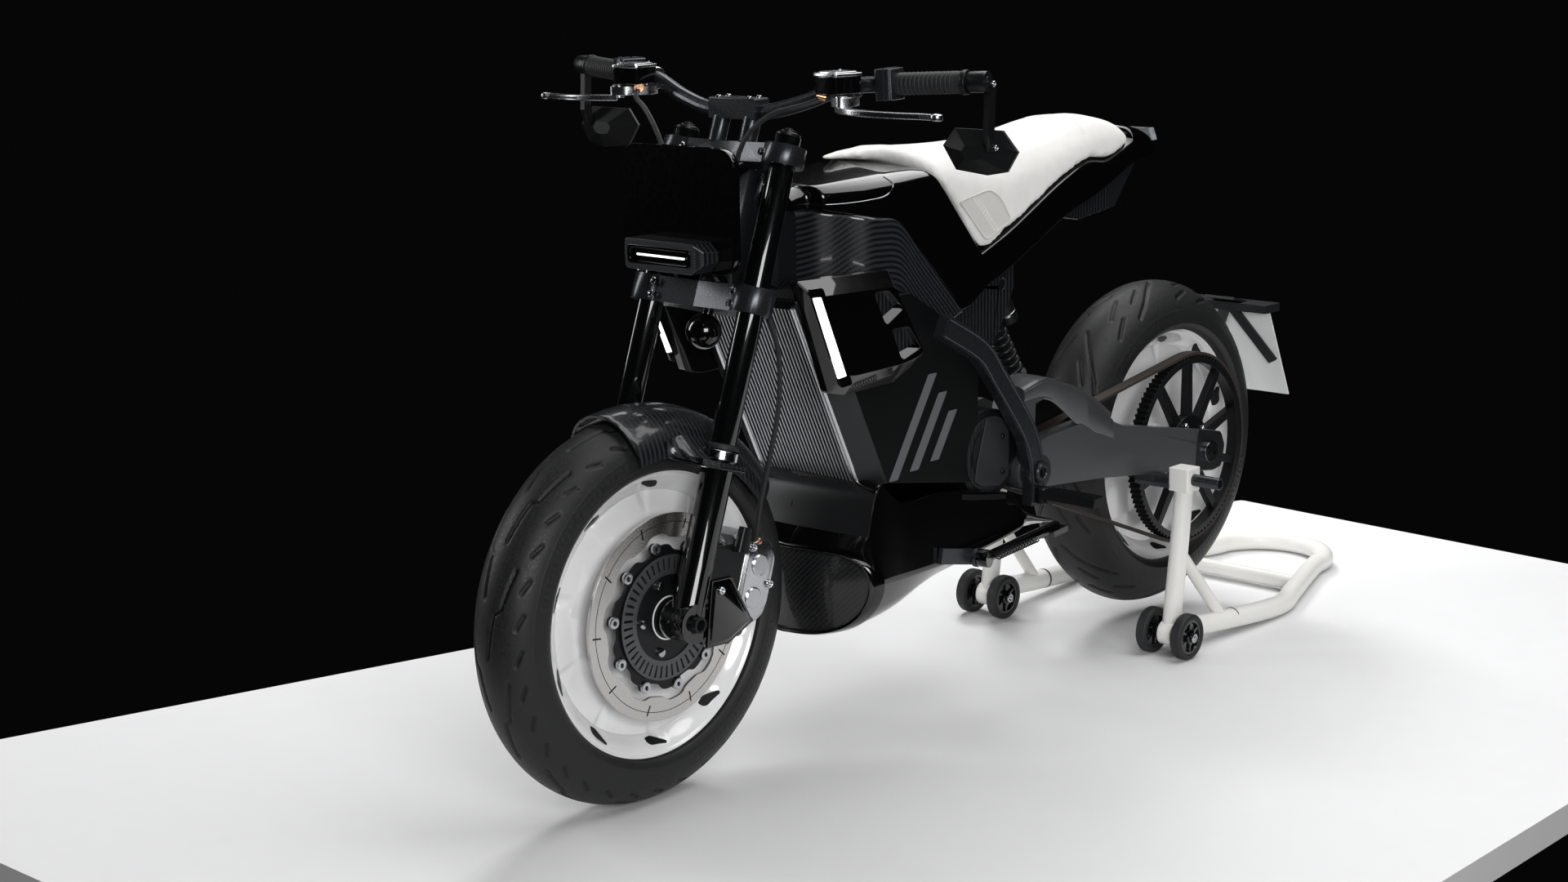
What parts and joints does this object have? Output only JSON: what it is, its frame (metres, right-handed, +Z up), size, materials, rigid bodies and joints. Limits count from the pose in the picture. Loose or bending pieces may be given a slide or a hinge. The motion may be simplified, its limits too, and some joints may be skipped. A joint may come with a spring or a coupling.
{
  "type": "electric motorcycle on a rear paddock stand",
  "caption": "Belt-driven electric motorcycle with a boxed battery, dished white wheels and a long white seat, held upright on a white paddock stand.",
  "frame": {"origin": "on the floor, in the middle of the box around the motorcycle and its stand", "axes": "+X forwards, +Y to the rider's left, +Z up"},
  "size_m": [2.24, 0.918, 1.1081],
  "materials": {
    "tyre": "moulded rubber",
    "rim_white": "gloss white lacquer",
    "disc_steel": "ground steel",
    "dark_metal": "satin black",
    "axle_steel": "turned steel",
    "fork_black": "gloss black",
    "cast_grey": "anodised grey",
    "carbon": "lacquered carbon weave",
    "silver_cast": "satin silver",
    "gloss_black": "deep gloss",
    "rubber": "matt rubber",
    "control_black": "moulded",
    "frame_grey": "satin powder coat",
    "battery_black": "satin black",
    "fin_alloy": "bead blasted",
    "seat_leather": "white grained leather",
    "clear_lens": "clear lens",
    "lamp_white": "lit diffuser",
    "belt": "reinforced rubber",
    "plate_white": "gloss white",
    "stand_white": "gloss white powder coat"
  },
  "bodies": {
    "chassis": {"frame": "frame_grey", "battery_case": "battery_black", "heat_sink": "fin_alloy", "carbon_cover": "carbon", "tank_shell": "gloss_black", "tail_shell": "gloss_black", "seat": "seat_leather", "tail_light": "clear_lens", "rear_carbon": "carbon", "side_lamps": "gloss_black", "lamp_strips": "lamp_white", "belly_fairing": "gloss_black", "belly_nose": "carbon", "motor": "dark_metal", "drive_belt": "belt", "swingarm": "cast_grey", "shock_absorber": "dark_metal", "pivot_bolts": "axle_steel", "rear_axle": "axle_steel", "rear_caliper": "dark_metal", "footpegs": "dark_metal", "plate_holder": "control_black", "number_plate": "plate_white", "stand_frame": "stand_white", "stand_pads": "rubber"},
    "steering": {"fork_tubes": "fork_black", "fork_sliders": "fork_black", "fork_clamps": "cast_grey", "front_axle": "axle_steel", "front_fender": "carbon", "front_caliper": "silver_cast", "fork_guards": "gloss_black", "front_panel": "gloss_black", "light_bar": "carbon", "horn": "gloss_black", "handlebar": "dark_metal", "grips": "rubber", "hand_controls": "control_black", "hand_levers": "silver_cast", "mirrors": "control_black", "brake_hoses": "rubber"},
    "front_wheel": {"front_tyre": "tyre", "front_rim": "rim_white", "front_disc": "disc_steel", "front_disc_carrier": "dark_metal"},
    "rear_wheel": {"rear_tyre": "tyre", "rear_rim": "rim_white", "rear_pulley": "dark_metal", "rear_disc": "disc_steel"},
    "side_stand": {"side_stand": "gloss_black"},
    "castors_left": {"castors_left": "rubber"},
    "castors_right": {"castors_right": "rubber"}
  },
  "joints": [
    {"name": "steer", "type": "hinge", "parent": "chassis", "child": "steering", "pos_m": [0.5944, 0, 0.85689], "axis": [-0.3256, 0, 0.9455], "range_deg": [-30, 30]},
    {"name": "front_wheel_spin", "type": "hinge", "parent": "steering", "child": "front_wheel", "pos_m": [0.82, 0, 0.3], "axis": [0, 1, 0], "continuous": true},
    {"name": "rear_wheel_spin", "type": "hinge", "parent": "chassis", "child": "rear_wheel", "pos_m": [-0.53, 0, 0.336], "axis": [0, 1, 0], "continuous": true},
    {"name": "side_stand_swing", "type": "hinge", "parent": "chassis", "child": "side_stand", "pos_m": [0.193, 0.181, 0.282], "axis": [0.2419, -0.9703, 0], "range_deg": [0, 100]},
    {"name": "castors_left_spin", "type": "hinge", "parent": "chassis", "child": "castors_left", "pos_m": [-0.319, 0.208, 0.042], "axis": [0, 1, 0], "continuous": true},
    {"name": "castors_right_spin", "type": "hinge", "parent": "chassis", "child": "castors_right", "pos_m": [-0.319, -0.208, 0.042], "axis": [0, 1, 0], "continuous": true}
  ]
}
